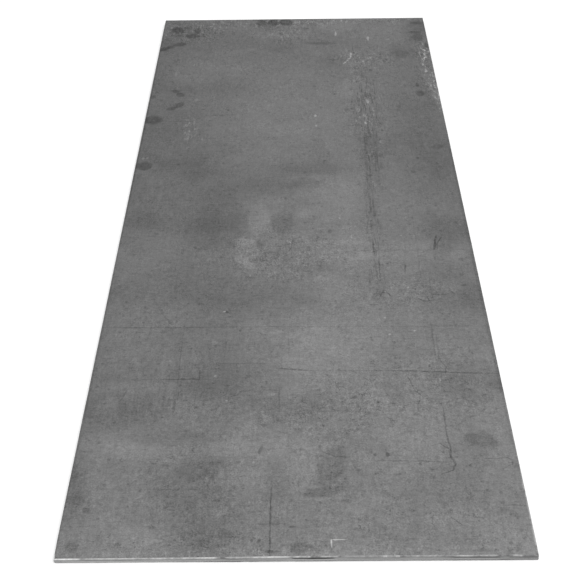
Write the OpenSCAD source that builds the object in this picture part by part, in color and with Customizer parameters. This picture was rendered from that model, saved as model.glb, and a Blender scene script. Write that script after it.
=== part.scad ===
// Steel plate: one flat piece of hot-rolled stock with four sheared edges.
// Lengths are in millimetres. The plate lies flat, with its width along X, its
// length along Y and its thickness up Z. The origin is the middle of the face
// that it rests on.

/* [Plate] */
// Width of the plate, across the direction of rolling
plate_width = 500; // [300:10:1500]
// Length of the plate, along the direction of rolling
plate_length = 1250; // [600:10:3000]
// Rolled thickness
plate_thickness = 8; // [4:0.5:20]

/* [Sheared edges] */
// Radius of the corner that the blade rolled over as it bit
rollover_radius = 0.8; // [0.2:0.1:1.2]
// Share of the thickness that was cut smooth before the metal broke
burnish_share = 0.3; // [0.3:0.05:0.6]
// How far the broken part of an edge leans in from the smooth part
break_setback = 0.5; // [0.1:0.1:1]
// Number of facets round a full circle
smoothness = 48; // [24:4:96]

/* [Hidden] */

burnish_height = burnish_share * plate_thickness;
mill_scale_grey = "dimgray";

// What the blade takes off a square corner at the origin when it rolls it
// over. The corner's metal lies towards +X and +Y.
module rollover_waste() {
    difference() {
        square(rollover_radius);
        translate([rollover_radius, rollover_radius])
            circle(r = rollover_radius, $fn = smoothness);
    }
}

// Cross-section between two sheared edges that are "span" apart, standing on
// the X axis. The edge at -X was cut from above: its rolled-over corner is at
// the top, the smooth cut is under it and the break leans in to the bottom. The
// edge at +X was cut from below, so it is the same edge turned half round.
module sheared_section(span) {
    edge = span / 2;
    difference() {
        polygon([
            [-edge + break_setback, 0],
            [edge, 0],
            [edge, burnish_height],
            [edge - break_setback, plate_thickness],
            [-edge, plate_thickness],
            [-edge, plate_thickness - burnish_height]
        ]);
        translate([-edge, plate_thickness])
            mirror([0, 1]) rollover_waste();
        translate([edge, 0])
            mirror([1, 0]) rollover_waste();
    }
}

// The plate, as wide and as long as its two sheared sections allow
module steel_plate() {
    color(mill_scale_grey)
    intersection() {
        rotate([90, 0, 0])
            linear_extrude(height = plate_length, center = true)
                sheared_section(plate_width);
        rotate([90, 0, 90])
            linear_extrude(height = plate_width, center = true)
                sheared_section(plate_length);
    }
}

steel_plate();
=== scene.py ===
# %% [markdown]
# # A hot-rolled steel plate, from bare solid to finished look
#
# The object is one flat piece of raw stock: steel rolled hot to its thickness,
# cooled with a skin of grey oxide on it, which a mill calls scale, and cut to
# size on a shear. It has almost no shape. What makes it look like steel is the
# way its four edges broke, and the clouds, cracks, grain and finger marks in
# its scale. So this lesson spends a little work on the mesh, all of it at the
# edges, and most of its work on one long material.
#
# Lengths are written in millimetres and turned into metres where Blender
# needs them. The plate lies flat, width along X, length along Y.

# %% Load the plate's solid and read its size
import math

import bmesh
import bpy
from mathutils import Matrix, Vector, noise


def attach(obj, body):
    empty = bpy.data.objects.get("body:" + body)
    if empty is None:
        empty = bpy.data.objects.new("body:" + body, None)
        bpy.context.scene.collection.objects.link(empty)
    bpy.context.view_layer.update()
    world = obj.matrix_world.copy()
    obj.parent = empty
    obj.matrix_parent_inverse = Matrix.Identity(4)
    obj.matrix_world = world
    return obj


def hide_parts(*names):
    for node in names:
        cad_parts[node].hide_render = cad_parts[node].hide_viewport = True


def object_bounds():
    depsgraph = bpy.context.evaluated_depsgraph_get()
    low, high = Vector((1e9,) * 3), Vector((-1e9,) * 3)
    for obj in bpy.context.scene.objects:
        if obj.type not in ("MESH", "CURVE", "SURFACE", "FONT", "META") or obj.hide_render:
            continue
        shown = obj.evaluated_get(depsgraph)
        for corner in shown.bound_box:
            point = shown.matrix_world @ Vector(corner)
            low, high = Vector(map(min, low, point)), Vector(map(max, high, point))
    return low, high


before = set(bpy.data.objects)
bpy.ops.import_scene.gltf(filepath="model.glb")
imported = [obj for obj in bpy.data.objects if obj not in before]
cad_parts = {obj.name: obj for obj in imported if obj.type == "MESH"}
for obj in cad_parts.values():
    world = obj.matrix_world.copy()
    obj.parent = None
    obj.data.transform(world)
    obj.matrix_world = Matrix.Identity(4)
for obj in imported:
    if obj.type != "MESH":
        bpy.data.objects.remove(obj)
solid_low, solid_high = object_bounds()
MM = 0.001
width, length, thickness = (side / MM for side in solid_high - solid_low)
print(f"plate: {width:.0f} x {length:.0f} x {thickness:.1f} mm")

# %% [markdown]
# ## Camera, floor and light
#
# The plate is seen down its length, from above one short end. The camera is
# set first, because every later choice is judged through it. Its place is
# given from the middle of the plate, and it is aimed by three plain angles:
# how far it swings left, how far it looks down and how far it leans.

# %% Set up the camera
CAMERA_PLACE = (6.4, -1273.3, 907.5)
CAMERA_SWING = 0.617
CAMERA_LOOK_DOWN = 39.94
CAMERA_LEAN = -0.89
CAMERA_LENS = 64.65


def set_up_camera():
    """A camera with no blur from focus, at its place over the near end."""
    lens = bpy.data.cameras.new("view_over_near_end")
    lens.lens = CAMERA_LENS
    lens.sensor_width = 36
    lens.clip_start = 0.01
    camera = bpy.data.objects.new("view_over_near_end", lens)
    swing = Matrix.Rotation(math.radians(CAMERA_SWING), 4, "Z")
    tip = Matrix.Rotation(math.radians(90 - CAMERA_LOOK_DOWN), 4, "X")
    lean = Matrix.Rotation(math.radians(CAMERA_LEAN), 4, "Z")
    place = Matrix.Translation(Vector(CAMERA_PLACE) * MM)
    camera.matrix_world = place @ swing @ tip @ lean
    bpy.context.scene.collection.objects.link(camera)
    bpy.context.scene.camera = camera
    return camera


camera = set_up_camera()
print("camera:", [round(part, 3) for part in camera.location])

# %% [markdown]
# Steel shows what is around it. A bright, even room and a white floor let the
# scale's own greys speak, and one wide soft lamp over the near end lifts the
# scale there and leaves the far end a little darker, as a lamp in a store does.
# The lamp's size and place are in metres, and its power is in watts.

# %% Set up the floor, the room's light and one soft lamp
FLOOR_SIZE = 40000
FLOOR_WHITENESS = 0.93
ROOM_BRIGHTNESS = 0.86
LAMP_SIZE = 3
LAMP_POWER = 60
LAMP_PLACE = (0.8, -0.9, 2.8)


def set_up_floor():
    """One big pale square that the plate lies on."""
    floor = bmesh.new()
    bmesh.ops.create_grid(floor, x_segments=1, y_segments=1, size=FLOOR_SIZE * MM / 2)
    mesh = bpy.data.meshes.new("studio_floor")
    floor.to_mesh(mesh)
    floor.free()
    paint = bpy.data.materials.new("pale_floor")
    paint.use_nodes = True
    shader = paint.node_tree.nodes["Principled BSDF"]
    shader.inputs["Base Color"].default_value = (*[FLOOR_WHITENESS] * 3, 1)
    shader.inputs["Roughness"].default_value = 0.9
    shader.inputs["Specular IOR Level"].default_value = 0
    mesh.materials.append(paint)
    floor_object = bpy.data.objects.new("studio_floor", mesh)
    bpy.context.scene.collection.objects.link(floor_object)


def set_up_light():
    """An evenly bright room, and one square soft lamp above the near end."""
    room = bpy.data.worlds.new("bright_room")
    room.use_nodes = True
    background = room.node_tree.nodes["Background"]
    background.inputs["Color"].default_value = (1, 1, 1, 1)
    background.inputs["Strength"].default_value = ROOM_BRIGHTNESS
    bpy.context.scene.world = room
    lamp = bpy.data.lights.new("soft_lamp", "AREA")
    lamp.shape = "SQUARE"
    lamp.size = LAMP_SIZE
    lamp.energy = LAMP_POWER
    lamp_object = bpy.data.objects.new("soft_lamp", lamp)
    lamp_object.location = LAMP_PLACE
    aim = -lamp_object.location
    lamp_object.rotation_mode = "QUATERNION"
    lamp_object.rotation_quaternion = aim.to_track_quat("-Z", "Y")
    bpy.context.scene.collection.objects.link(lamp_object)


set_up_floor()
set_up_light()
bpy.context.scene.view_settings.view_transform = "Standard"
bpy.context.scene.view_settings.look = "None"
print("room brightness:", ROOM_BRIGHTNESS, "lamp:", LAMP_POWER, "W")

# %% [markdown]
# ## The plate's mesh
#
# A shear does not slice. Its blade first pulls the corner of the plate over
# (the rollover), then cuts a smooth band (the burnish), and then the rest of
# the thickness tears and leans in (the break), ending in a small sharp burr.
# A box with a bevel has none of that, so the mesh is made in three moves:
#
# 1. a flat grid for the upper face, with extra points round its rim only;
# 2. that rim pulled down, ring by ring, to the lower face, so that the edge
#    has enough points for its bands;
# 3. one pass over the points that pushes them in where the shear did.
#
# The grid's inner cells can be coarse, as the face is flat but for a slight
# wave left by the rolls.

# %% Make the upper face with a fine rim
CELLS_ACROSS = 80
CELLS_ALONG = 200
RIM_CUTS = 4
LIP_WIDTH = 0.4
SHOULDER_WIDTH = 1.8
SCALE_FINISH = 0
SHEARED_FINISH = 1
LOWER_FINISH = 2


def add_rolled_face(mesh, height):
    """A grid the size of the plate, whose rim edges are cut finer."""
    stretch = Matrix.Diagonal((width, length, 1, 1))
    place = Matrix.Translation((0, 0, height)) @ stretch
    made = bmesh.ops.create_grid(
        mesh, x_segments=CELLS_ACROSS, y_segments=CELLS_ALONG, size=0.5, matrix=place
    )
    rim = {e for v in made["verts"] for e in v.link_edges if e.is_boundary}
    bmesh.ops.subdivide_edges(mesh, edges=list(rim), cuts=RIM_CUTS)


plate = bmesh.new()
add_rolled_face(plate, thickness)
upper_faces = list(plate.faces)
for ring_width in (LIP_WIDTH, SHOULDER_WIDTH):
    bmesh.ops.inset_region(
        plate, faces=upper_faces, thickness=ring_width, use_boundary=True, use_even_offset=True
    )
for face in plate.faces:
    face.material_index = SCALE_FINISH
print("upper face:", len(plate.faces), "faces")

# %% Pull the rim down, ring by ring, and close the lower face
RING_DEPTHS = (
    0.12, 0.32, 0.56, 0.85, 1.3, 1.9, 2.5, 3.2, 4.0,
    4.8, 5.5, 6.1, 6.7, 7.15, 7.44, 7.68, 7.88, 8.0,
)
WELD_DISTANCE = 0.001


def pull_rim_down(mesh):
    """Extrudes the open rim down to the lower face in rings, as bands of the cut."""
    rim = [edge for edge in mesh.edges if edge.is_boundary]
    share = thickness / RING_DEPTHS[-1]
    reached = 0
    for depth in RING_DEPTHS:
        made = bmesh.ops.extrude_edge_only(mesh, edges=rim)["geom"]
        lower = {part for part in made if isinstance(part, bmesh.types.BMVert)}
        bmesh.ops.translate(mesh, vec=(0, 0, (reached - depth) * share), verts=list(lower))
        for part in made:
            if isinstance(part, bmesh.types.BMFace):
                part.material_index = SHEARED_FINISH
        rim = [
            part for part in made
            if isinstance(part, bmesh.types.BMEdge) and set(part.verts) <= lower
        ]
        reached = depth


pull_rim_down(plate)
upper_and_edge = set(plate.faces)
add_rolled_face(plate, 0)
for face in set(plate.faces) - upper_and_edge:
    face.material_index = LOWER_FINISH
bmesh.ops.remove_doubles(plate, verts=plate.verts, dist=WELD_DISTANCE)
open_edges = sum(edge.is_boundary for edge in plate.edges)
print("plate:", len(plate.faces), "faces,", open_edges, "open edges")

# %% [markdown]
# Now the shear's work. Two neighbouring edges were cut with the plate on the
# table, so their rollover is on top. The opposite two were cut with the plate
# as the falling side, so there it is underneath, and a thin burr stands on the
# top corner. Each edge gets its own noise, so that the bands wander along it.
#
# The push is greatest on the edge itself and fades out over the first few
# millimetres of the face. The depth into the edge is always counted from the
# side that the blade came from. A count of the bands is stored on the mesh as an
# attribute, 0 to 1 over the rollover, 1 to 2 over the burnish and 2 to 3 over
# the break. The edge's material reads it to change from one finish to the next.

# %% Describe the four sheared edges
ROLLOVER_DEPTH = 1.3
ROLLOVER_SPREAD = 1.1
BURNISH_SHARE = 0.42
TEAR_ROUGHNESS = 0.12
BURR_HEIGHT = 0.08
WAVE_HEIGHT = 0.06
EDGE_REACH = 6.0

EDGES = (
    {"name": "near", "axis": 1, "side": -1, "cut_from_top": True, "setback": 0.1},
    {"name": "left", "axis": 0, "side": -1, "cut_from_top": True, "setback": 0.5},
    {"name": "far", "axis": 1, "side": 1, "cut_from_top": False, "setback": 0.2},
    {"name": "right", "axis": 0, "side": 1, "cut_from_top": False, "setback": 0.1},
)


def wander(along, step, seed):
    """Smooth noise from -1 to 1 that changes about every `step` millimetres."""
    return noise.noise(Vector((along / step, seed * 7.3, 0.5)))


def sheared_point(along, depth, setback, seed):
    """How far one point of an edge is pushed in, and the band it lies in."""
    rollover = ROLLOVER_DEPTH * (1 + 0.35 * wander(along, 45, seed))
    spread = ROLLOVER_SPREAD * (1 + 0.35 * wander(along, 70, seed + 1))
    burnish = thickness * BURNISH_SHARE
    burnish += 0.6 * wander(along, 40, seed + 2) + 0.35 * wander(along, 9, seed + 3)
    if depth < rollover:
        left = 1 - depth / rollover
        return spread * (1 - math.sqrt(1 - left * left)), depth / rollover
    if depth < burnish:
        return 0, 1 + (depth - rollover) / (burnish - rollover)
    torn = (depth - burnish) / (thickness - burnish)
    tear = noise.noise(Vector((along / 1.9, depth / 1.3, seed)))
    coarse = noise.noise(Vector((along / 7, depth / 3, seed + 4)))
    rough = TEAR_ROUGHNESS * (tear + 0.8 * coarse) * min(1, 4 * torn)
    lean = setback * torn ** 0.8
    return max(0, lean + rough), 2 + torn


def face_sag(x, y):
    """The slight wave that the rolls left in the face, about 0.1 to 0.2 mm down."""
    wave = noise.noise(Vector((x / 210, y / 330, 3.1)))
    return WAVE_HEIGHT * (1 + wave) + BURR_HEIGHT


print(f"burnish ends {BURNISH_SHARE * thickness:.2f} mm down, and the rest is torn")
for edge in EDGES:
    print(edge["name"], "edge leans in by", edge["setback"], "mm")

# %% Push the points in where the shear did
KNOCK_DROP = 0.9
KNOCK_WIDTH = 24
KNOCK_STEEPNESS = 1.6
LEFT_DROP = 1.9
LEFT_WIDTH = 300


def corner_drop(x, y):
    """The near right corner was knocked down, and the left of the near end was pulled over."""
    from_end = max(0, 1 - (length / 2 + y) / KNOCK_WIDTH)
    from_right = max(0, 1 - (width / 2 - x) / KNOCK_WIDTH)
    from_left = max(0, 1 - (width / 2 + x) / LEFT_WIDTH)
    knock = KNOCK_DROP * min(1, KNOCK_STEEPNESS * from_right)
    return (knock + LEFT_DROP * from_left) * from_end


def shear_edges(mesh):
    """Moves every point near an edge to its place on the sheared edge."""
    band = mesh.verts.layers.float.new("cut_band")
    half = (width / 2, length / 2)
    for point in mesh.verts:
        start = point.co.copy()
        squeeze = (face_sag(start.x, start.y) + corner_drop(start.x, start.y)) / thickness
        for number, edge in enumerate(EDGES):
            axis = edge["axis"]
            inward = half[axis] - edge["side"] * start[axis]
            if inward > EDGE_REACH:
                continue
            along = start[1 - axis]
            depth = thickness - start.z if edge["cut_from_top"] else start.z
            push, zone = sheared_point(along, depth, edge["setback"], 10 * number)
            fade = 1 - inward / EDGE_REACH
            point.co[axis] -= edge["side"] * push * fade
            if inward < 0.01:
                point[band] = zone
                if not edge["cut_from_top"] and depth > thickness - 0.01:
                    burr = 0.5 + 0.5 * wander(along, 14, number)
                    squeeze -= BURR_HEIGHT * burr / thickness
        point.co.z = start.z * (1 - squeeze)


shear_edges(plate)
bmesh.ops.scale(plate, vec=(MM, MM, MM), verts=plate.verts)
bmesh.ops.recalc_face_normals(plate, faces=plate.faces)
print("plate volume:", round(plate.calc_volume() / MM ** 3), "cubic mm")

# %% Turn the shape into the plate's object
SHARP_ANGLE = 38
mesh = bpy.data.meshes.new("rolled_plate")
for face in plate.faces:
    face.smooth = True
plate.to_mesh(mesh)
plate.free()
mesh.set_sharp_from_angle(angle=math.radians(SHARP_ANGLE))
rolled_plate = bpy.data.objects.new("rolled_plate", mesh)
bpy.context.scene.collection.objects.link(rolled_plate)
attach(rolled_plate, "root")
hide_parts("steel_plate")
mesh.calc_loop_triangles()
print("rolled_plate:", len(mesh.loop_triangles), "triangles")

# %% [markdown]
# ## Building blocks for the finish
#
# Everything from here on is material. Its colour is worked out as one number,
# the lightness as the eye sees it, from 0 for black to 1 for white. Each thing
# that happened to the scale lifts or lowers that number a little: a cloud, a
# finger mark, a crack, a speck. Only at the end is it turned into the colour
# that the shader wants. Adding small lifts is easy to reason about: where two
# marks cross, both show.
#
# The pattern reads Object coordinates, scaled to millimetres, so a mark's place
# in a list below is its place on the plate, from the middle of the face.

# %% Small helpers for wiring a material
def add_node(tree, kind, **settings):
    """A new node with these settings."""
    made = tree.nodes.new(kind)
    for name, value in settings.items():
        setattr(made, name, value)
    return made


def feed(tree, socket, value):
    """Joins a socket to another node's output, or sets it to a number."""
    if isinstance(value, bpy.types.NodeSocket):
        tree.links.new(value, socket)
    else:
        socket.default_value = value


def calc(tree, operation, *values):
    """One step of arithmetic."""
    made = add_node(tree, "ShaderNodeMath", operation=operation)
    for socket, value in zip(made.inputs, values):
        feed(tree, socket, value)
    return made.outputs[0]


def ease(tree, value, start, end, reach=1.0):
    """0 where the value is below start, `reach` where it is past end."""
    made = add_node(tree, "ShaderNodeMapRange", interpolation_type="SMOOTHSTEP", clamp=False)
    feed(tree, made.inputs["Value"], value)
    made.inputs["From Min"].default_value = start
    made.inputs["From Max"].default_value = end
    made.inputs["To Max"].default_value = reach
    return made.outputs["Result"]


def noise_texture(tree, where, across, along, seed, detail, harshness):
    """A noise texture with lumps this many millimetres big. The seed picks another patch of it."""
    place = add_node(tree, "ShaderNodeMapping")
    feed(tree, place.inputs["Vector"], where)
    place.inputs["Location"].default_value = (seed, seed * 1.7, seed * 0.3)
    place.inputs["Scale"].default_value = (1 / across, 1 / along, 1 / min(across, along))
    texture = add_node(tree, "ShaderNodeTexNoise")
    feed(tree, texture.inputs["Vector"], place.outputs["Vector"])
    texture.inputs["Scale"].default_value = 1
    texture.inputs["Detail"].default_value = detail
    texture.inputs["Roughness"].default_value = harshness
    return texture


def lumps(tree, where, size, detail=2.0, seed=0.0, harshness=0.5):
    """Noise around 0 with lumps about `size` mm big: one number, or (across, along)."""
    across, along = size if isinstance(size, tuple) else (size, size)
    texture = noise_texture(tree, where, across, along, seed, detail, harshness)
    return calc(tree, "SUBTRACT", texture.outputs[0], 0.5)


def shake(tree, where, size, reach, seed, detail=2.0, harshness=0.5):
    """The same place, pushed about by up to `reach` mm, so that outlines come out ragged."""
    texture = noise_texture(tree, where, size, size, seed, detail, harshness)
    push = add_node(tree, "ShaderNodeVectorMath", operation="SUBTRACT")
    feed(tree, push.inputs[0], texture.outputs["Color"])
    push.inputs[1].default_value = (0.5, 0.5, 0.5)
    moved = add_node(tree, "ShaderNodeVectorMath", operation="MULTIPLY_ADD")
    feed(tree, moved.inputs[0], push.outputs[0])
    moved.inputs[1].default_value = (2 * reach, 2 * reach, 0)
    feed(tree, moved.inputs[2], where)
    return moved.outputs[0]


# %% [markdown]
# Most marks are soft ovals: a cloud is a wide one, a finger mark a small one,
# and a crack a chain of very thin ones. A Mapping node in its Texture mode moves
# the oval's middle to the origin, turns it upright and divides by its half
# sizes, so that its rim becomes a circle. A round gradient then falls from 1 in
# the middle to 0 at the rim.
#
# A material may hold hundreds of them, but Cycles has room for only so many
# unfinished numbers at a time. So each mark is added to the lightness as soon
# as it is made, and `ease` leaves its Map Range unclamped, because the clamp
# would become a step of its own and put every mark's sum off to the end.

# %% Make the mask of an oval
# An oval reaches this far up and down, so that a point's height makes no difference.
ENDLESS = 10000


def oval(tree, where, middle, half_size, turn=0, softness=0.5):
    """1 inside an oval, 0 outside and soft in between. The turn is in degrees, anticlockwise."""
    local = add_node(tree, "ShaderNodeMapping", vector_type="TEXTURE")
    feed(tree, local.inputs["Vector"], where)
    outer = [size * (1 + softness) for size in half_size]
    local.inputs["Location"].default_value = (*middle, 0)
    local.inputs["Rotation"].default_value = (0, 0, math.radians(turn))
    local.inputs["Scale"].default_value = (*outer, ENDLESS)
    nearness = add_node(tree, "ShaderNodeTexGradient", gradient_type="SPHERICAL")
    feed(tree, nearness.inputs["Vector"], local.outputs["Vector"])
    return ease(tree, nearness.outputs[1], 0, 2 * softness / (1 + softness))


def lay_ovals(tree, lightness, where, ovals, softness):
    """Adds marks to the lightness. Each is x, y, half sizes, turn and lift in hundredths."""
    for x, y, across, along, turn, lift in ovals:
        mask = oval(tree, where, (x, y), (across, along), turn, softness)
        lightness = calc(tree, "MULTIPLY_ADD", mask, lift / 100, lightness)
    return lightness


def lay_strokes(tree, lightness, where, strokes, softness=0.35):
    """Adds thin lines. Each is its two ends, its half width and its lift in hundredths."""
    for x1, y1, x2, y2, half_width, lift in strokes:
        half_length = math.dist((x1, y1), (x2, y2)) / 2 + half_width
        middle = ((x1 + x2) / 2, (y1 + y2) / 2)
        turn = math.degrees(math.atan2(y2 - y1, x2 - x1))
        mask = oval(tree, where, middle, (half_length, half_width), turn, softness)
        lightness = calc(tree, "MULTIPLY_ADD", mask, lift / 100, lightness)
    return lightness


# %% [markdown]
# ## Where the marks are
#
# Real scale is never even. It comes out of the rolls in clouds, darker where it
# is thick and tight, and lighter where it is thin. The widest ovals come first.
# They are painted light and shade as well as clouds: they lighten the near right
# half and the near end and darken the far sides, as light falls off from the
# lamp. Then come the clouds, then what handling left: fingers on the ends and
# sides, a thumb near the front, a round oil stain, nicks down to bright steel.
#
# Each mark is one oval: the x and y of its middle, its two half sizes, its turn
# in degrees, and how far it lifts the lightness, in hundredths.

# %% List the clouds in the scale, and the painted falloff of light
# Painted light and shade: lighter over the near right half and near end, darker down the far sides,
# with wide clouds.
WIDE_PAINTED_FALLOFF_AND_CLOUDS = (
    (-270, 260, 150, 420, 0, -4.0),
    (265, 190, 75, 330, 0, -4.0),
    (110, -330, 230, 420, 0, 3.5),
    (0, -640, 400, 110, 0, 2.0),
    (10, 250, 110, 170, 0, 1.5),
)
CLOUDS = (
    (-215, 560, 75, 60, 0, -2.5), (-60, 590, 90, 40, 0, -2.0), (-30, 515, 45, 25, 0, -1.5),
    (55, 522, 32, 7, 0, -2.0), (200, 480, 24, 15, 0, -2.5), (235, 565, 22, 55, 0, -3.0),
    (-150, 360, 100, 22, 0, -1.2), (120, 230, 22, 150, 0, -2.0), (125, 150, 18, 60, 0, -1.5),
    (215, 170, 30, 100, 0, -1.5), (225, 130, 22, 45, 0, -1.5), (-160, 110, 60, 40, 0, -3.5),
    (-235, 105, 25, 30, 0, -2.0), (20, 98, 55, 18, 5, -3.0), (-60, 75, 70, 35, -10, -1.5),
    (-40, 50, 50, 25, 0, -2.0), (-115, 20, 35, 40, 0, -3.0), (-127, -45, 42, 32, 0, -4.5),
    (-212, -38, 38, 20, 0, -3.0), (60, 10, 45, 60, 0, 2.5), (75, -110, 45, 45, 0, 2.0),
    (160, -115, 60, 22, 0, 2.0), (238, -105, 18, 18, 0, 2.0), (10, -100, 35, 25, 0, -0.8),
    (215, -60, 32, 38, 0, -4.0), (-90, -200, 150, 32, 0, -2.6), (5, -195, 30, 40, 0, -2.0),
    (-130, -165, 60, 20, 0, -1.0), (205, -185, 35, 45, 0, -1.5), (238, -215, 14, 32, 0, -3.0),
    (30, -300, 55, 60, 0, 3.0), (50, -350, 70, 40, 0, 1.5), (-40, -275, 25, 22, 0, 1.5),
    (-110, -358, 55, 22, 0, -3.0), (-80, -385, 70, 30, 0, -1.5), (-210, -412, 45, 26, 0, -3.5),
    (-190, -465, 55, 18, 0, 3.0), (-30, -470, 65, 26, 0, 3.0), (-95, -475, 35, 15, 0, 1.5),
    (-118, -522, 48, 42, 0, -4.5), (-90, -585, 50, 38, 0, -4.0), (-50, -520, 28, 30, 0, 1.0),
    (-25, -535, 20, 22, 0, -2.0), (-25, -600, 40, 20, 0, -1.5), (-243, -525, 14, 50, 0, -3.5),
    (-185, -600, 60, 35, 0, 2.5), (130, -450, 50, 30, 0, 2.0), (165, -535, 50, 30, 0, -3.2),
    (215, -365, 55, 30, 0, -2.5), (248, -372, 15, 20, 0, -3.0), (20, -405, 30, 25, 0, -1.5),
    (-20, -420, 60, 20, 0, -1.0),
    (-215, -395, 25, 26, 0, 4.5), (-170, -525, 75, 45, 0, 3.0), (-135, -490, 30, 15, 0, 2.0),
    (-92, -560, 16, 14, 0, 3.5), (-222, -105, 40, 55, 0, 3.0), (-205, -262, 35, 35, 0, 2.0),
    (35, -192, 48, 26, 0, 3.8), (25, -288, 25, 22, 0, 2.5), (-232, 106, 18, 18, 0, 3.5),
    (-198, 80, 25, 20, 0, 2.0), (-112, 118, 30, 24, 0, 3.5), (80, 588, 32, 22, 0, 2.8),
    (175, 560, 36, 60, 0, 2.2), (-170, 412, 60, 35, 0, 2.0), (105, 350, 28, 30, 0, 3.0),
    (126, 300, 14, 30, 0, 3.0), (125, 203, 16, 26, 0, 2.2), (-90, 250, 60, 60, 0, 1.6),
    (90, -402, 22, 20, 0, 2.8), (168, -345, 14, 12, 0, 2.8), (236, -345, 12, 35, 0, 2.6),
    (226, -130, 18, 16, 0, 2.6), (228, -460, 20, 45, 0, 2.0), (14, -82, 18, 16, 0, 2.6),
    (-180, 568, 40, 22, 0, -2.4), (-66, 600, 26, 12, 0, -3.6), (-10, 535, 26, 16, 0, -2.8),
    (42, 530, 26, 14, 0, -1.8), (-20, 478, 50, 30, 0, -2.0), (72, 452, 26, 26, 0, -2.8),
    (172, 150, 34, 75, 0, -2.8), (18, 130, 35, 45, 0, -2.0), (205, 75, 40, 45, 0, -2.0),
    (-78, -55, 26, 45, 0, -1.6), (-100, -245, 38, 35, 0, -2.2), (-25, -240, 30, 10, 0, -2.2),
    (-95, -322, 24, 24, 0, -2.0), (200, -225, 38, 24, 0, -2.4), (110, -590, 30, 40, 0, -2.8),
    (45, -560, 70, 45, 0, -1.4), (230, -558, 28, 24, 0, -1.8), (190, 290, 40, 30, 0, -1.8),
    (100, 470, 70, 50, 0, -1.4), (236, 462, 12, 12, 0, -4.0), (246, 345, 10, 60, 0, 5.0),
    (105, 430, 16, 28, 0, 3.2), (-90, 420, 25, 28, 0, 2.0), (130, 160, 10, 18, 0, 2.0),
    (180, 95, 28, 45, 0, 1.8), (-180, 145, 30, 20, 0, 1.8), (-35, 565, 10, 10, 0, 2.6),
    (-185, -200, 22, 30, 0, 2.6), (-230, -228, 24, 18, 0, 1.4), (-148, -355, 25, 28, 0, 2.2),
    (-165, -400, 40, 36, 0, 1.2), (2, -392, 15, 14, 0, 3.6), (-50, -430, 18, 18, 0, 2.4),
    (-240, -490, 9, 20, 0, 3.6), (12, -515, 18, 32, 0, 2.8), (-60, -517, 22, 12, 0, 2.6),
    (95, -262, 20, 65, 0, 2.2), (85, -565, 40, 20, 0, 1.8), (-50, -590, 25, 15, 0, 2.2),
    (-68, -92, 15, 45, 0, 2.2), (-175, -35, 30, 16, 0, 1.8), (18, -20, 12, 12, 0, 2.0),
    (220, -28, 14, 16, 0, 2.0), (-25, -22, 14, 12, 0, 2.0), (236, 590, 12, 24, 0, -2.4),
    (205, 490, 25, 36, 0, -2.0), (178, 508, 18, 14, 0, -1.8), (-155, 505, 25, 14, 0, -2.0),
    (-92, 525, 50, 24, 0, -2.0), (20, 56, 28, 14, 0, -3.0), (60, 110, 18, 28, 0, -1.4),
    (135, 65, 14, 30, 0, -1.4), (205, -112, 18, 12, 0, -2.6), (35, -153, 25, 12, 0, -2.8),
    (-30, -125, 25, 12, 0, -2.4), (-110, -92, 34, 16, 0, -2.4), (118, -108, 18, 8, 0, -2.4),
    (-130, -460, 55, 10, 0, -2.8), (-12, -455, 15, 12, 0, -1.8), (40, -463, 25, 8, 0, -2.8),
    (120, -445, 30, 12, 0, -2.2), (112, -390, 20, 16, 0, -1.6), (210, -402, 22, 14, 0, -2.8),
    (210, -490, 15, 18, 0, -1.8), (-170, -574, 40, 13, -20, -3.4), (-200, -506, 15, 12, 0, -2.4),
    (-115, -515, 20, 22, 0, -1.2), (-35, -350, 18, 15, 0, -2.2), (-20, -312, 22, 12, 0, -1.6),
    (40, -345, 30, 20, 0, -1.8), (-190, -540, 20, 18, 0, -1.6), (165, -600, 24, 15, 0, -2.0),
    (26, -614, 15, 8, 0, -2.6), (100, -75, 28, 22, 0, 2.2), (-10, 215, 35, 22, 0, 2.4),
    (-215, -328, 28, 28, 0, 2.2), (-150, -245, 20, 30, 0, 2.0), (-172, -95, 22, 28, 0, 1.8),
    (-205, 60, 30, 45, 0, 1.4), (130, 290, 14, 28, 0, -2.4), (127, 165, 12, 22, 0, -2.2),
    (-145, 85, 15, 30, 0, -1.6), (175, -172, 35, 12, 0, -2.0), (-27, -263, 12, 16, 0, -2.2),
    (165, -410, 25, 15, 0, 1.8), (-225, -418, 14, 20, 0, 2.2), (-195, -482, 40, 14, 0, 2.2),
    (-160, -592, 22, 16, 0, 1.8), (-135, 372, 40, 12, 0, 1.4), (145, 15, 25, 30, 0, 1.2),
    (65, -180, 20, 16, 0, -1.6), (215, 362, 20, 14, 0, -1.4), (-100, -600, 38, 16, 0, -2.4),
    (-240, 525, 12, 28, 0, -2.5), (68, -490, 14, 14, 0, 1.6),
)
SMALL_CLOUDS = (
    (-52, -36, 15, 42, 0, 3.6), (-74, -89, 17, 8, 0, 5.0), (-74, -130, 9, 10, 0, 4.0),
    (-62, -143, 10, 8, -35, 3.5), (-35, 10, 22, 16, 0, 1.8), (-23, -90, 18, 5, 0, 3.0),
    (65, -92, 35, 6, 0, 2.5), (92, -125, 28, 8, 0, 1.8), (12, -20, 12, 11, 0, 1.8),
    (-18, -45, 17, 28, 0, -3.5), (-118, -48, 22, 20, 0, -1.6), (-82, -45, 13, 28, 0, -2.0),
    (40, -505, 15, 30, -20, -4.5), (28, -541, 20, 7, 10, -4.5), (50, -525, 8, 16, 0, -2.5),
    (48, 521, 30, 5, 0, -3.5), (193, 477, 19, 11, 0, -2.0),
    (-112, -508, 24, 13, 10, -1.4), (-105, -385, 45, 14, 0, -1.4),
)

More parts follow.
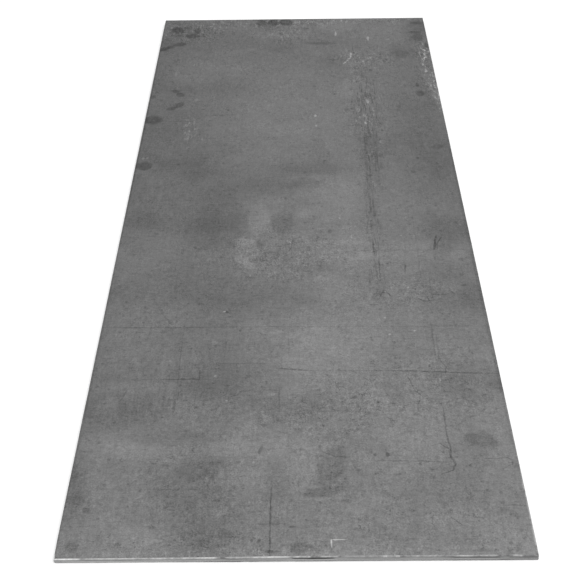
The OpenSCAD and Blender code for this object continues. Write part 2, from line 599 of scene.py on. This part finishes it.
# %% List the dark marks that handling left
FINGER_MARKS = (
    (-63, 611, 8, 15, 0, -12), (-40, 611, 10, 14, 0, -13), (-15, 611, 12, 14, 0, -13),
    (-222, 582, 13, 13, 0, -11), (-192, 556, 13, 9, 10, -12), (-184, 578, 6, 12, 0, -9),
    (-203, 592, 9, 6, 0, -7), (-217, 558, 7, 6, 0, -5), (-213, 523, 12, 7, 15, -9),
    (-228, 513, 8, 5, 30, -6), (-240, 504, 11, 7, 30, -10), (-206, 346, 8, 6, -10, -9),
    (-196, 333, 8, 8, 0, -9), (-197, 298, 11, 6, 40, -8), (-208, 286, 8, 5, 30, -7),
    (-237, 249, 15, 14, 0, -9.5), (-237, 110, 13, 12, 0, -9), (-244, 327, 5, 5, 0, -6),
    (236, 602, 13, 7, 0, -7), (228, 563, 12, 6, 0, -8), (232, 542, 10, 15, 0, -7),
    (246, 508, 4, 11, 0, -8), (215, 361, 3, 8, 0, -8), (219, 329, 9, 9, 0, -8),
    (230, 158, 11, 6, 20, -4), (5, -613, 12, 7, 0, -6), (212, -466, 18, 11, -15, -5.5),
    (200, -462, 7, 8, 0, -1.2), (229, -472, 8, 4, -10, -3), (230, -570, 12, 5, -25, -3),
)
DARK_SPOTS = (
    (137, 415, 3, 5, 0, -6), (147, 404, 2, 4, 0, -5), (69, 456, 9, 3, 0, -5),
    (-95, 410, 2, 6, 0, -4), (-115, 563, 3, 6, 0, -5), (23, 583, 6, 4, 0, -4),
    (35, 358, 3, 3, 0, -4), (46, 285, 3, 3, 0, -4), (88, 277, 3, 3, 0, -4),
    (177, 285, 4, 3, 0, -4), (-135, 262, 5, 3, 0, -4), (-121, 262, 5, 3, 0, -4),
    (144, 210, 2, 4, 0, -7), (33, 183, 8, 4, 0, -4), (-181, 140, 2.5, 2.5, 0, -5),
    (54, 140, 2.5, 2.5, 0, -6), (47, 120, 2.5, 2.5, 0, -7), (-4, 113, 2.5, 2.5, 0, -6),
    (194, 125, 3, 3, 0, -7), (223, 110, 2.5, 3, 0, -6), (16, 88, 3, 3, 0, -5),
    (185, 86, 3, 3, 0, -5), (117, 77, 2.5, 3, 0, -8), (35, 61, 3, 2.5, 0, -6),
    (-13, 17, 2.5, 3, 0, -7), (27, -58, 2, 3, 0, -5), (50, -66, 3, 5, -10, -6),
    (15, -45, 2, 2.5, 0, -5), (33, -80, 2, 3, 0, -5), (45, -84, 2, 2.5, 0, -5),
    (-50, -95, 4, 12, 10, -4), (-158, -110, 2, 6, 0, -4), (-102, -125, 3, 3, 0, -4),
    (231, -134, 5, 4, 0, -5), (227, -167, 3, 3, 0, -5), (227, -190, 4, 2, 0, -6),
    (-89, -241, 2.4, 2, 0, -12), (60, -276, 2.5, 2.5, 0, -5), (-206, -411, 7, 11, 0, -2),
    (-40, -480, 2, 6, -15, -9), (104, -488, 2.4, 3.5, 0, -12), (90, -488, 2, 2, 0, -7),
    (-65, -498, 4, 2, 0, -5), (-245, -512, 4, 14, 0, -2.5), (-236, -549, 8, 7, 0, -3.5),
    (-225, -563, 4, 4, 0, -6), (-234, -610, 6, 7, 0, -6), (-186, -608, 4, 2.5, 0, -8),
    (-25, -618, 7, 2, 0, -9), (-46, -604, 1.6, 2, 0, -9), (-38, -604, 1.6, 2, 0, -9),
    (-4, -587, 4, 1.2, 0, -8), (198, -618, 14, 2, 0, -3), (228, -616, 6, 3, 40, -4),
)

# %% List the bright nicks and scratches
BRIGHT_NICKS = (
    (79, 560, 2, 9, 0, 17), (139, 539, 2, 8, 0, 16), (175, 535, 4, 3, 0, 5),
    (2, 604, 1.5, 8, 0, 6), (-185, 592, 1.5, 14, -12, 4), (104, 474, 2, 10, -6, 20),
    (99, 457, 2, 8, -25, 18), (92, 444, 2, 5, -35, 15), (96, 492, 2, 8, 0, 5),
    (125, 449, 1.5, 3.5, 0, 13), (-181, 441, 1.5, 4, 0, 6), (-211, 408, 2, 8, 0, 5),
    (35, 258, 2.2, 4, 0, 17), (36, 226, 1.8, 3, 0, 11), (125, 304, 2.5, 7, 10, 13),
    (120, 253, 3, 3, 0, 11), (103, 240, 2, 3, 0, 11), (118, 232, 2, 3, 0, 9),
    (111, 253, 2, 2, 0, 7), (138, 175, 2, 4, 0, 9), (130, 157, 1.5, 3, 0, 7),
    (111, 219, 1.5, 2, 0, 7), (-167, 315, 4, 4, 0, 5), (-179, 249, 4, 3, -30, 6),
    (-173, 213, 2, 4, 0, 7), (-173, 190, 2, 8, 0, 7), (-150, 188, 1.5, 4, 0, 6),
    (-240, 131, 2, 3, 0, 8), (-233, 132, 2, 3, 0, 6), (65, -34, 1.4, 1.4, 0, 8),
    (81, -79, 1.2, 4, 0, 9), (152, -77, 1.4, 1.4, 0, 9), (152, -194, 1.8, 1.8, 0, 9),
    (-92, -240, 1.7, 1.5, 0, 17), (117, -254, 1.4, 2, 0, 9), (153, -280, 1.8, 1.8, 0, 13),
    (121, -286, 1.7, 1.7, 0, 13), (-102, -300, 4, 4, 0, 4), (-98, -360, 1.6, 1.5, 0, 10),
    (176, -369, 1.2, 2.5, 0, 9), (-29, -392, 6, 2, 5, 6), (-82, -402, 1.5, 1.3, 0, 10),
    (37, -608, 0.9, 5, 0, 20), (45, -603.5, 8, 0.8, 0, 18),
)

# %% [markdown]
# Scale is brittle. The rolls and the cooling bed leave straight lines across
# and along the plate, and where the sheet bent a little the scale cracked in
# short wandering lines. Each is a stroke: the x and y of its two ends, its half
# width and its lift in hundredths. A crack that turns is several strokes, end to
# end.

# %% List the lines and cracks
ROLL_LINES = (
    (-248.5, -612, -248.5, -60, 1.6, -3), (-248.3, -60, -248.3, 600, 2.0, -6),
    (248, -480, 248, 180, 2.6, -4), (248.8, 560, 248.8, 615, 2.0, -4),
    (249.3, -620, 249.3, -510, 1.1, 12), (249.4, -510, 249.4, -400, 0.9, 5),
    (225, -560, 248, -561, 0.8, -5), (70, 622, 245, 622, 2.5, 6),
    (-248, -270, -95, -271, 0.9, -6), (-95, -270, 60, -271, 0.8, -5),
    (60, -271, 248, -272, 0.8, -4), (-21, -347, 16, -351, 1.1, -12),
    (27, -351, 150, -353, 0.8, -6), (130, -353, 222, -358, 1.1, -9),
    (210, -358, 249, -359, 0.8, -6), (-200, -365, -158, -365, 0.8, -4),
    (-160, -365, -117, -365, 1.0, -9), (-117, -350, -117, -365, 1.0, -7),
    (-96, -338, -30, -338, 0.7, -5), (-173, -535, -100, -536, 0.8, -3.5),
    (120, -111, 205, -112, 0.9, -4), (-220, 244, -165, 243, 0.9, -4),
    (181, -209, 202, -209, 1.0, -7), (-27, -545, -27, -620, 1.1, -9),
    (-26, -525, -27, -560, 0.8, -5), (111, 120, 113, -60, 1.6, -2.5),
    (117, 130, 118, -40, 1.4, -2.5), (106, 60, 107, -50, 1.2, -2), (113, 90, 115, -70, 6.0, -1.5),
    (110, -60, 112, -200, 1.6, -2.5), (116, -100, 117, -190, 1.2, -2), (118, 375, 118, 290, 4.0, -2),
    (139, 375, 140, 270, 1.4, -3), (110, 345, 111, 230, 1.5, -3),
    (114, 230, 113, 60, 2.0, -3), (131, 230, 129, 105, 3.0, -3),
    (172, -23, 172, -170, 1.2, -3), (175, -270, 175, -360, 0.8, -4),
    (-143, -270, -143, -420, 0.8, -4), (-88, -270, -88, -375, 0.8, -2.5),
    (-8, -265, -8, -330, 0.7, -3), (-19, -380, -19, -420, 0.8, -5),
    (-144, -400, -144, -420, 2.0, -5), (108, 508, 109, 480, 1.0, -8),
    (-46, -583, -4, -583, 0.8, -5),
)
CRACKS = (
    (202, -79, 198, -95, 1.5, -11), (208, -83, 200, -100, 1.2, -9),
    (199, -95, 196, -110, 2.0, -13), (202, -98, 200, -110, 1.0, -9),
    (-3, -88, -4, -100, 0.9, -9), (-4, -100, -10, -115, 0.8, -6),
    (-10, -115, -18, -128, 0.7, -4), (152, -145, 151, -160, 1.2, -8),
    (138, -365, 144, -388, 0.9, -8), (144, -388, 150, -394, 0.9, -8),
    (150, -394, 147, -408, 0.8, -6), (158, -401, 183, -402, 0.9, -6),
    (183, -402, 205, -400, 0.8, -5), (183, -404, 178, -412, 0.8, -6),
    (171, -404, 175, -416, 1.0, -7), (175, -416, 174, -456, 1.0, -7),
    (174, -454, 176, -482, 1.1, -8), (176, -481, 175, -492, 1.3, -8),
    (175, -490, 179, -503, 1.5, -8), (179, -503, 175, -511, 1.2, -8),
    (175, -511, 162, -517, 1.0, -8), (175, -481, 165, -472, 0.9, -7),
    (165, -472, 154, -475, 0.7, -5), (212, -494, 226, -495, 0.8, -6),
    (226, -495, 236, -493, 0.8, -6), (236, -493, 244, -497, 0.9, -7),
    (244, -497, 242, -503, 0.8, -6), (242, -503, 230, -510, 0.8, -5),
    (-12, -478, 30, -482, 0.7, -3), (30, -482, 45, -490, 0.8, -5),
    (45, -490, 75, -491, 0.7, -4), (85, -496, 175, -499, 0.7, -6),
    (181, -337, 186, -347, 0.8, -7), (186, -347, 184, -358, 0.8, -7),
    (90, -412, 103, -422, 0.8, -6), (103, -422, 113, -438, 0.7, -5),
    (162, -206, 166, -209, 1.0, -7), (163, -216, 170, -222, 1.0, -8),
    (170, -222, 178, -221, 1.0, -8), (178, -221, 176, -214, 1.0, -7),
    (167, -190, 180, -191, 1.0, -6), (101, -219, 106, -206, 1.0, -6),
    (106, -208, 115, -204, 1.0, -7), (112, -216, 118, -202, 1.2, -8),
    (117, -203, 125, -206, 1.2, -8), (122, -200, 128, -212, 1.0, -7),
    (100, -228, 110, -229, 1.0, -6), (167, -577, 176, -586, 0.9, -8),
    (181, -573, 198, -576, 0.8, -6), (198, -576, 204, -582, 0.8, -5),
    (-187, -215, -171, -247, 1.6, -3.5), (-171, -247, -158, -266, 1.6, -3.5),
    (-203, -384, -209, -400, 1.3, -5), (62, -495, 75, -520, 1.6, -2.5),
)
print("marks:", sum(map(len, (
    WIDE_PAINTED_FALLOFF_AND_CLOUDS, CLOUDS, SMALL_CLOUDS, FINGER_MARKS, DARK_SPOTS, BRIGHT_NICKS, ROLL_LINES, CRACKS
))))

# %% [markdown]
# ## The mill scale
#
# Between the listed marks, the scale has a texture of its own, and it changes
# from place to place. Four lists of ovals say where. In the rough areas the
# grain and the specks are strong. The crazed areas are full of hair cracks. In
# the streaked areas, scratches run along the plate, as the rolls left them. The
# scuffed areas were rubbed pale where the plate was lifted and stacked.
#
# The ovals are the same as for marks, and a lift of 100 is full strength.

# %% Say where the scale is rough, crazed, streaked or scuffed
ROUGH_AREAS = (
    (0, 520, 420, 230, 0, 16), (0, 230, 300, 120, 0, 6), (0, -510, 190, 130, 0, 5),
    (30, -430, 80, 35, 0, 16), (-110, -415, 45, 25, 0, 8), (-90, -560, 75, 60, 0, 8),
    (40, -530, 40, 60, 0, 6),
    (-15, -120, 65, 65, 0, 38), (-90, -130, 50, 50, 0, 16), (90, -120, 50, 80, 0, 14),
    (120, 250, 28, 170, 0, 22), (125, 460, 45, 40, 0, 55), (-30, 570, 60, 40, 0, 45),
    (-190, 570, 60, 45, 0, 55), (150, -380, 110, 45, 0, 18), (190, -600, 70, 30, 0, 8),
    (-235, -560, 20, 60, 0, 5), (150, -200, 60, 40, 0, 22), (240, 430, 18, 110, 0, 60),
    (-10, -612, 250, 14, 0, 12), (0, 612, 250, 12, 0, 55), (-170, -250, 40, 30, 0, 8),
    (40, -250, 60, 40, 0, 8),
)
CRAZED_AREAS = (
    (150, -380, 120, 70, 0, 90), (40, -420, 80, 50, 0, 50), (180, -590, 80, 40, 0, 80),
    (120, -205, 80, 30, 0, 60), (60, -520, 60, 50, 0, 50),
)
STREAKED_AREAS = (
    (124, 310, 22, 100, 0, 75), (124, 160, 16, 110, 0, 60), (113, -30, 9, 110, 0, 75),
    (112, -170, 11, 45, 0, 60), (-172, -380, 60, 50, 0, 20), (175, -320, 10, 60, 0, 30),
)
SCUFFED_AREAS = (
    (239, 430, 9, 90, 0, 70), (236, 480, 13, 30, 0, 40), (-190, 585, 50, 28, 0, 30),
    (246, 340, 6, 70, 0, 60),
    (-60, 600, 130, 14, 0, 35), (-30, 560, 60, 25, 0, 25), (60, 612, 60, 8, 0, 40),
    (-172, 225, 12, 45, 0, 40), (120, 260, 20, 40, 0, 40), (130, 460, 30, 35, 0, 30),
    (-240, 560, 8, 60, 0, 30), (10, -618, 230, 6, 0, 20), (-20, -130, 50, 60, 0, 10),
)


# %% [markdown]
# Two patterns come from Voronoi cells, which grow round scattered points. Pits
# are the distance to the nearest point, cut off at a size that each point draws
# for itself. Hair cracks are the lines where cells meet, broken up so that only
# short runs are left.

# %% Make the pits and the hair cracks
def voronoi_cells(tree, where, spacing, shift, feature):
    """Voronoi cells about `spacing` mm wide."""
    place = add_node(tree, "ShaderNodeMapping")
    feed(tree, place.inputs["Vector"], where)
    place.inputs["Location"].default_value = (*shift, 0)
    place.inputs["Scale"].default_value = (1 / spacing, 1 / spacing, 0)
    cells = add_node(tree, "ShaderNodeTexVoronoi", voronoi_dimensions="2D", feature=feature)
    feed(tree, cells.inputs["Vector"], place.outputs["Vector"])
    cells.inputs["Scale"].default_value = 1
    return cells


def scattered_pits(tree, where, spacing, biggest, seed):
    """1 in pits about `spacing` mm apart, of mixed sizes up to `biggest` mm across."""
    points = voronoi_cells(tree, where, spacing, (seed, seed), "F1")
    draw = add_node(tree, "ShaderNodeSeparateColor")
    feed(tree, draw.inputs[0], points.outputs["Color"])
    squared = calc(tree, "POWER", draw.outputs[0], 3.0)
    radius = calc(tree, "MULTIPLY_ADD", squared, biggest / spacing / 2, 0.01)
    ratio = calc(tree, "DIVIDE", points.outputs["Distance"], radius)
    return ease(tree, ratio, 1.3, 0.5)


def hair_cracks(tree, where, spacing, width_of_crack, seed):
    """Short hair cracks where cells about `spacing` mm wide meet."""
    bent = shake(tree, where, spacing * 0.35, spacing * 0.3, seed)
    cells = voronoi_cells(tree, bent, spacing, (seed, seed * 2), "DISTANCE_TO_EDGE")
    outer = width_of_crack / spacing
    line = ease(tree, cells.outputs["Distance"], outer, 0.2 * outer)
    broken = ease(tree, lumps(tree, where, spacing * 0.8, detail=1, seed=seed + 3), 0.02, 0.08)
    return calc(tree, "MULTIPLY", line, broken)


def millimetres(tree, offset=0):
    """The place on the plate, in millimetres from the middle of its lower face.

    An offset moves along X to a fresh patch of noise, so that two faces don't look alike.
    """
    place = add_node(tree, "ShaderNodeTexCoord")
    scaled = add_node(tree, "ShaderNodeVectorMath", operation="MULTIPLY_ADD")
    feed(tree, scaled.inputs[0], place.outputs["Object"])
    scaled.inputs[1].default_value = (1 / MM, 1 / MM, 1 / MM)
    scaled.inputs[2].default_value = (offset, 0, 0)
    return scaled.outputs[0]


# %% [markdown]
# The material is put together from a few short functions, one for each kind of
# thing that shows. Coordinates come first: `blown` is the place pushed about by
# up to 20 mm, for the clouds' loose outlines, `ragged` by 6 mm for stains and
# `nudged` by under 2 mm for everything thin, so that no line is dead straight.
#
# Scale is not plain metal, and not plain paint either. A Metallic of 0.7 keeps
# some of both. The lightness is raised to the power 2.2 on its way to the shader,
# because a surface that looks half as light as white sends back only about a
# fifth of the light.

# %% Hand a finish over to the shader
SCALE_LIGHTNESS = 0.428
STEEL_METAL = 0.7
EYE_CURVE = 2.2
DARKEST = 0.02
SCALE_ROUGHNESS = 0.47
SCALE_RELIEF = 0.05


def grey_colour(tree, lightness):
    """Turns lightness as seen into the plain colour that the shader takes."""
    light = calc(tree, "POWER", calc(tree, "MAXIMUM", lightness, DARKEST), EYE_CURVE)
    colour = add_node(tree, "ShaderNodeCombineColor")
    for socket in colour.inputs:
        feed(tree, socket, light)
    return colour.outputs[0]


def finish_surface(tree, lightness, roughness, height, strength, relief_depth):
    """Gives the shader its colour, roughness and bump. The depth is in millimetres."""
    shader = tree.nodes["Principled BSDF"]
    feed(tree, shader.inputs["Base Color"], grey_colour(tree, lightness))
    shader.inputs["Metallic"].default_value = STEEL_METAL
    feed(tree, shader.inputs["Roughness"], roughness)
    relief = add_node(tree, "ShaderNodeBump")
    relief.inputs["Strength"].default_value = strength
    relief.inputs["Distance"].default_value = relief_depth * MM
    feed(tree, relief.inputs["Height"], height)
    feed(tree, shader.inputs["Normal"], relief.outputs["Normal"])


# %% Lay the marks
def lay_marks(tree, lightness, where, blown, ragged, nudged):
    """Adds every listed mark. Worn gaps in the scale break the thin lines up."""
    whole = ease(tree, lumps(tree, where, 5, detail=3, seed=21, harshness=0.6), -0.3, 0.0)
    lines = lay_strokes(tree, 0, nudged, CRACKS)
    lines = lay_strokes(tree, lines, nudged, ROLL_LINES)
    lightness = calc(tree, "MULTIPLY_ADD", lines, whole, lightness)
    lightness = lay_ovals(tree, lightness, nudged, DARK_SPOTS, softness=0.4)
    lightness = lay_ovals(tree, lightness, nudged, BRIGHT_NICKS, softness=0.4)
    lightness = lay_ovals(tree, lightness, ragged, FINGER_MARKS, softness=0.3)
    # The widest ovals paint the falloff of light as well as wide clouds.
    lightness = lay_ovals(tree, lightness, blown, WIDE_PAINTED_FALLOFF_AND_CLOUDS, softness=0.9)
    lightness = lay_ovals(tree, lightness, blown, CLOUDS, softness=0.5)
    return lay_ovals(tree, lightness, ragged, SMALL_CLOUDS, softness=0.22)


# %% Add the scale's own texture
def lay_pattern(tree, lightness, pattern, roughened, by_roughness, everywhere):
    """Adds a pattern that has some strength everywhere and more in the rough areas."""
    strength = calc(tree, "MULTIPLY_ADD", roughened, by_roughness, everywhere)
    return calc(tree, "MULTIPLY_ADD", pattern, strength, lightness)


def lay_specks(tree, lightness, where, roughened):
    """Adds dark specks that lie in clumps, and gives back the specks too, for the bump."""
    clumps = ease(tree, lumps(tree, where, 13, detail=3, seed=22, harshness=0.6), -0.02, 0.14)
    specks = ease(tree, lumps(tree, where, 2.3, detail=1, seed=23), 0.08, 0.2)
    specks = calc(tree, "MULTIPLY", specks, clumps)
    lightness = lay_pattern(tree, lightness, specks, roughened, by_roughness=-0.16, everywhere=-0.03)
    return lightness, specks


def lay_painted_glints_and_scuffs(tree, lightness, where, nudged, scuffed):
    """Adds small painted glints, highlights painted into the colour, and pale rubbed patches in the
    scuffed areas.
    """
    # Painted glints: small highlights painted into the colour.
    painted_glints = ease(tree, lumps(tree, where, (3.2, 2.2), detail=1, seed=24), 0.14, 0.28)
    lightness = calc(tree, "MULTIPLY_ADD", painted_glints, 0.04, lightness)
    scuffs = ease(tree, lumps(tree, nudged, (3.5, 10), detail=3, seed=28, harshness=0.6), 0.02, 0.16)
    scuffs = calc(tree, "MULTIPLY", scuffs, scuffed)
    return calc(tree, "MULTIPLY_ADD", scuffs, 0.28, lightness)


def lay_streaks(tree, lightness, nudged, streaked):
    """Adds short dashes across the plate, and long streaks in the streaked areas."""
    dashes = ease(tree, lumps(tree, nudged, (15, 3), detail=2, seed=25), 0.06, 0.2)
    lightness = calc(tree, "MULTIPLY_ADD", dashes, -0.03, lightness)
    streaks = ease(tree, lumps(tree, nudged, (2.2, 26), detail=3, seed=26), 0.0, 0.16)
    streaks = calc(tree, "MULTIPLY", streaks, streaked)
    return calc(tree, "MULTIPLY_ADD", streaks, -0.095, lightness)


def lay_pits_and_cracks(tree, lightness, where, nudged, crazed):
    """Adds scattered pits, and hair cracks in the crazed areas."""
    pits = scattered_pits(tree, nudged, spacing=14, biggest=4.5, seed=8)
    lightness = calc(tree, "MULTIPLY_ADD", pits, -0.05, lightness)
    cracks = hair_cracks(tree, where, spacing=24, width_of_crack=0.9, seed=6)
    crazing = calc(tree, "MULTIPLY", cracks, crazed)
    return calc(tree, "MULTIPLY_ADD", crazing, -0.07, lightness)


# %% [markdown]
# The finish is the same steel on both faces, but only the upper one carries the
# marks. The underside keeps the texture and some loose clouds, with the little
# roughness, crazing and streaking that all of the scale has.
#
# The bump comes from the same grain, blotches and specks as the colour, so that
# a dark speck is also a small hollow. Scale is under a tenth of a millimetre
# thick, and the relief is no deeper.

# %% Build the mill scale
def mill_scale(name, marked, offset=0):
    """The oxide skin of the rolled faces."""
    finish = bpy.data.materials.new(name)
    finish.use_nodes = True
    tree = finish.node_tree
    where = millimetres(tree, offset)
    blown = shake(tree, where, size=45, reach=20, seed=1, detail=5, harshness=0.6)
    ragged = shake(tree, where, size=14, reach=6, seed=2, detail=4, harshness=0.6)
    nudged = shake(tree, where, size=7, reach=1.6, seed=5, detail=3)

    loose_clouds = lumps(tree, where, 55, detail=3, seed=4)
    lightness = calc(tree, "MULTIPLY_ADD", loose_clouds, 0.065, SCALE_LIGHTNESS)
    roughened = 0.2
    crazed = 0.05
    streaked = 0.06
    scuffed = 0.0
    if marked:
        lightness = lay_marks(tree, lightness, where, blown, ragged, nudged)
        roughened = lay_ovals(tree, roughened, blown, ROUGH_AREAS, softness=0.5)
        crazed = lay_ovals(tree, crazed, blown, CRAZED_AREAS, softness=0.5)
        streaked = lay_ovals(tree, streaked, ragged, STREAKED_AREAS, softness=0.4)
        scuffed = lay_ovals(tree, scuffed, ragged, SCUFFED_AREAS, softness=0.4)

    patchy = calc(tree, "MULTIPLY_ADD", lumps(tree, where, 24, detail=2, seed=20), 3.0, 1.0)
    roughened = calc(tree, "MULTIPLY", roughened, patchy)
    grain = lumps(tree, where, 1.5, detail=1, seed=11)
    blotches = lumps(tree, nudged, (8, 5), detail=4, seed=12, harshness=0.7)
    lightness = lay_pattern(tree, lightness, grain, roughened, by_roughness=0.30, everywhere=0.085)
    lightness = lay_pattern(tree, lightness, blotches, roughened, by_roughness=0.24, everywhere=0.075)
    long_grain = lumps(tree, nudged, (3.5, 11), detail=2, seed=27, harshness=0.6)
    lightness = lay_pattern(tree, lightness, long_grain, roughened, by_roughness=0.20, everywhere=0.04)
    lightness, specks = lay_specks(tree, lightness, where, roughened)
    lightness = lay_painted_glints_and_scuffs(tree, lightness, where, nudged, scuffed)
    lightness = lay_streaks(tree, lightness, nudged, streaked)
    lightness = lay_pits_and_cracks(tree, lightness, where, nudged, crazed)

    roughness = calc(tree, "MULTIPLY_ADD", blotches, 0.5, SCALE_ROUGHNESS)
    dull_patches = lumps(tree, where, 40, detail=3, seed=14)
    roughness = calc(tree, "MULTIPLY_ADD", dull_patches, 0.25, roughness)
    hills = calc(tree, "ADD", grain, blotches)
    height = calc(tree, "SUBTRACT", hills, specks)
    finish_surface(tree, lightness, roughness, height, strength=0.5, relief_depth=SCALE_RELIEF)
    return finish


rolled_scale = mill_scale("rolled_scale", marked=True)
mesh.materials.append(rolled_scale)
print("rolled_scale:", len(rolled_scale.node_tree.nodes), "nodes")

# %% [markdown]
# ## The sheared edge
#
# Each band of the cut has its own finish. The rollover is bent scale, with a
# bright line painted along it in runs as a painted highlight, where its rounded
# corner catches the light. The burnish is smooth bare steel, painted darker in
# runs as a painted dark reflection. The break is pale and matt, with a torn
# grain, and painted shade darkens its lower rim. How bright or how dark each is
# changes along the edge in runs, so the near edge, the one that is seen, has its
# runs listed: the x of the run's middle, its half length and its lift in hundredths.

# %% List the runs along the near edge
# Painted highlight: runs of bright line along the rollover of the near edge.
ROLLOVER_HIGHLIGHT_RUNS = (
    (-237, 14, 38), (-186, 36, 24), (-135, 14, 20), (-100, 20, 28), (-60, 12, 18),
    (-26, 21, 28), (6, 9, 18), (35, 9, 14), (104, 55, 10), (185, 23, 14), (228, 5, 14),
    (92, 2, 12), (105, 2, 12),
)
# Painted dark reflection: runs where the burnish is made darker.
BURNISH_DARK_REFLECTION_RUNS = (
    (-190, 32, -7), (-60, 12, -8), (6, 9, -26), (27, 12, -32), (186, 25, -14),
    (236, 16, -12), (104, 50, -3),
)
PALE_RUNS = (
    (-185, 65, 6), (-95, 18, 3), (14, 28, 4), (232, 22, -5),
)
# Painted shade: runs where the lower rim of the break is made darker.
LOWER_RIM_SHADE_RUNS = (
    (-76, 17, -24), (-62, 8, -20), (-43, 5, -18), (189, 32, -14), (20, 20, -24), (-200, 10, -6),
    (-225, 25, -6),
)
RUN_REACH = 12


def lay_runs(tree, total, where, runs):
    """Adds runs along the near edge. Each is its middle, half length and lift."""
    for middle, half_length, lift in runs:
        mask = oval(tree, where, (middle, -length / 2), (half_length, RUN_REACH), 0, 0.25)
        total = calc(tree, "MULTIPLY_ADD", mask, lift / 100, total)
    return total


# %% [markdown]
# The material reads the count that was stored on the mesh. Each band has its own
# base lightness and its own unevenness, and a mask that is 1 within its part of
# the count. The masks overlap a little, so that no band ends in a hard line.

# %% Build the sheared steel
ROLLOVER_LIGHTNESS = 0.40
BURNISH_LIGHTNESS = 0.50
TORN_LIGHTNESS = 0.56
TORN_DULLNESS = 0.5
TORN_RELIEF = 0.1


def within(tree, band, start, end, softness=0.15):
    """1 where the band count lies between two values."""
    rising = ease(tree, band, start - softness, start + softness)
    falling = ease(tree, band, end + softness, end - softness)
    return calc(tree, "MULTIPLY", rising, falling)


def lay_band(tree, lightness, mask, band_lightness):
    """Adds one band's own lightness where its mask is 1."""
    return calc(tree, "MULTIPLY_ADD", mask, band_lightness, lightness)


def sheared_lightness(tree, where, band, torn_grain, burnish_mask, torn_mask):
    """The lightness of the rollover with its painted highlight, the burnish with its painted dark
    reflection, and the break, with painted shade along the lower rim.
    """
    uneven = lumps(tree, where, 16, detail=3, seed=31, harshness=0.6)
    dashes = lumps(tree, where, 4, detail=3, seed=33, harshness=0.6)
    # The rollover's bent scale, with runs of painted highlight added.
    rollover_and_highlight = calc(tree, "MULTIPLY_ADD", uneven, 0.3, ROLLOVER_LIGHTNESS)
    rollover_and_highlight = calc(tree, "MULTIPLY_ADD", dashes, 0.35, rollover_and_highlight)
    rollover_and_highlight = lay_runs(tree, rollover_and_highlight, where, ROLLOVER_HIGHLIGHT_RUNS)
    lightness = lay_band(tree, 0, within(tree, band, -1, 1), rollover_and_highlight)

    burnish = calc(tree, "MULTIPLY_ADD", uneven, 0.15, BURNISH_LIGHTNESS)
    # The burnish's runs of painted dark reflection.
    burnish = lay_runs(tree, burnish, where, BURNISH_DARK_REFLECTION_RUNS)
    lightness = lay_band(tree, lightness, burnish_mask, burnish)

    torn = calc(tree, "MULTIPLY_ADD", torn_grain, 0.22, TORN_LIGHTNESS)
    torn = lay_runs(tree, torn, where, PALE_RUNS)
    lightness = lay_band(tree, lightness, torn_mask, torn)

    # Painted shade along the lower rim of the break, uneven in strength.
    lower_rim_shade = calc(tree, "MULTIPLY_ADD", uneven, 0.2, -0.05)
    lower_rim_shade = lay_runs(tree, lower_rim_shade, where, LOWER_RIM_SHADE_RUNS)
    return lay_band(tree, lightness, ease(tree, band, 2.6, 2.95), lower_rim_shade)


def sheared_steel(name):
    """Bent scale with a painted highlight, then burnish with a painted dark reflection, then pale torn
    steel with painted shade at its lower rim, from the blade's side.
    """
    finish = bpy.data.materials.new(name)
    finish.use_nodes = True
    tree = finish.node_tree
    where = millimetres(tree)
    band = add_node(tree, "ShaderNodeAttribute", attribute_name="cut_band").outputs["Fac"]
    torn_grain = lumps(tree, where, 1.4, detail=2, seed=32, harshness=0.6)
    burnish_mask = within(tree, band, 1, 2)
    torn_mask = within(tree, band, 2, 4)
    lightness = sheared_lightness(tree, where, band, torn_grain, burnish_mask, torn_mask)
    roughness = calc(tree, "MULTIPLY_ADD", burnish_mask, -0.15, TORN_DULLNESS)
    roughness = calc(tree, "MULTIPLY_ADD", torn_grain, 0.3, roughness)
    height = calc(tree, "MULTIPLY", torn_grain, torn_mask)
    finish_surface(tree, lightness, roughness, height, strength=0.6, relief_depth=TORN_RELIEF)
    return finish


edge_steel = sheared_steel("sheared_steel")
mesh.materials.append(edge_steel)
scale_below = mill_scale("rolled_scale_below", marked=False, offset=2000)
mesh.materials.append(scale_below)
print("sheared_steel:", len(edge_steel.node_tree.nodes), "nodes")
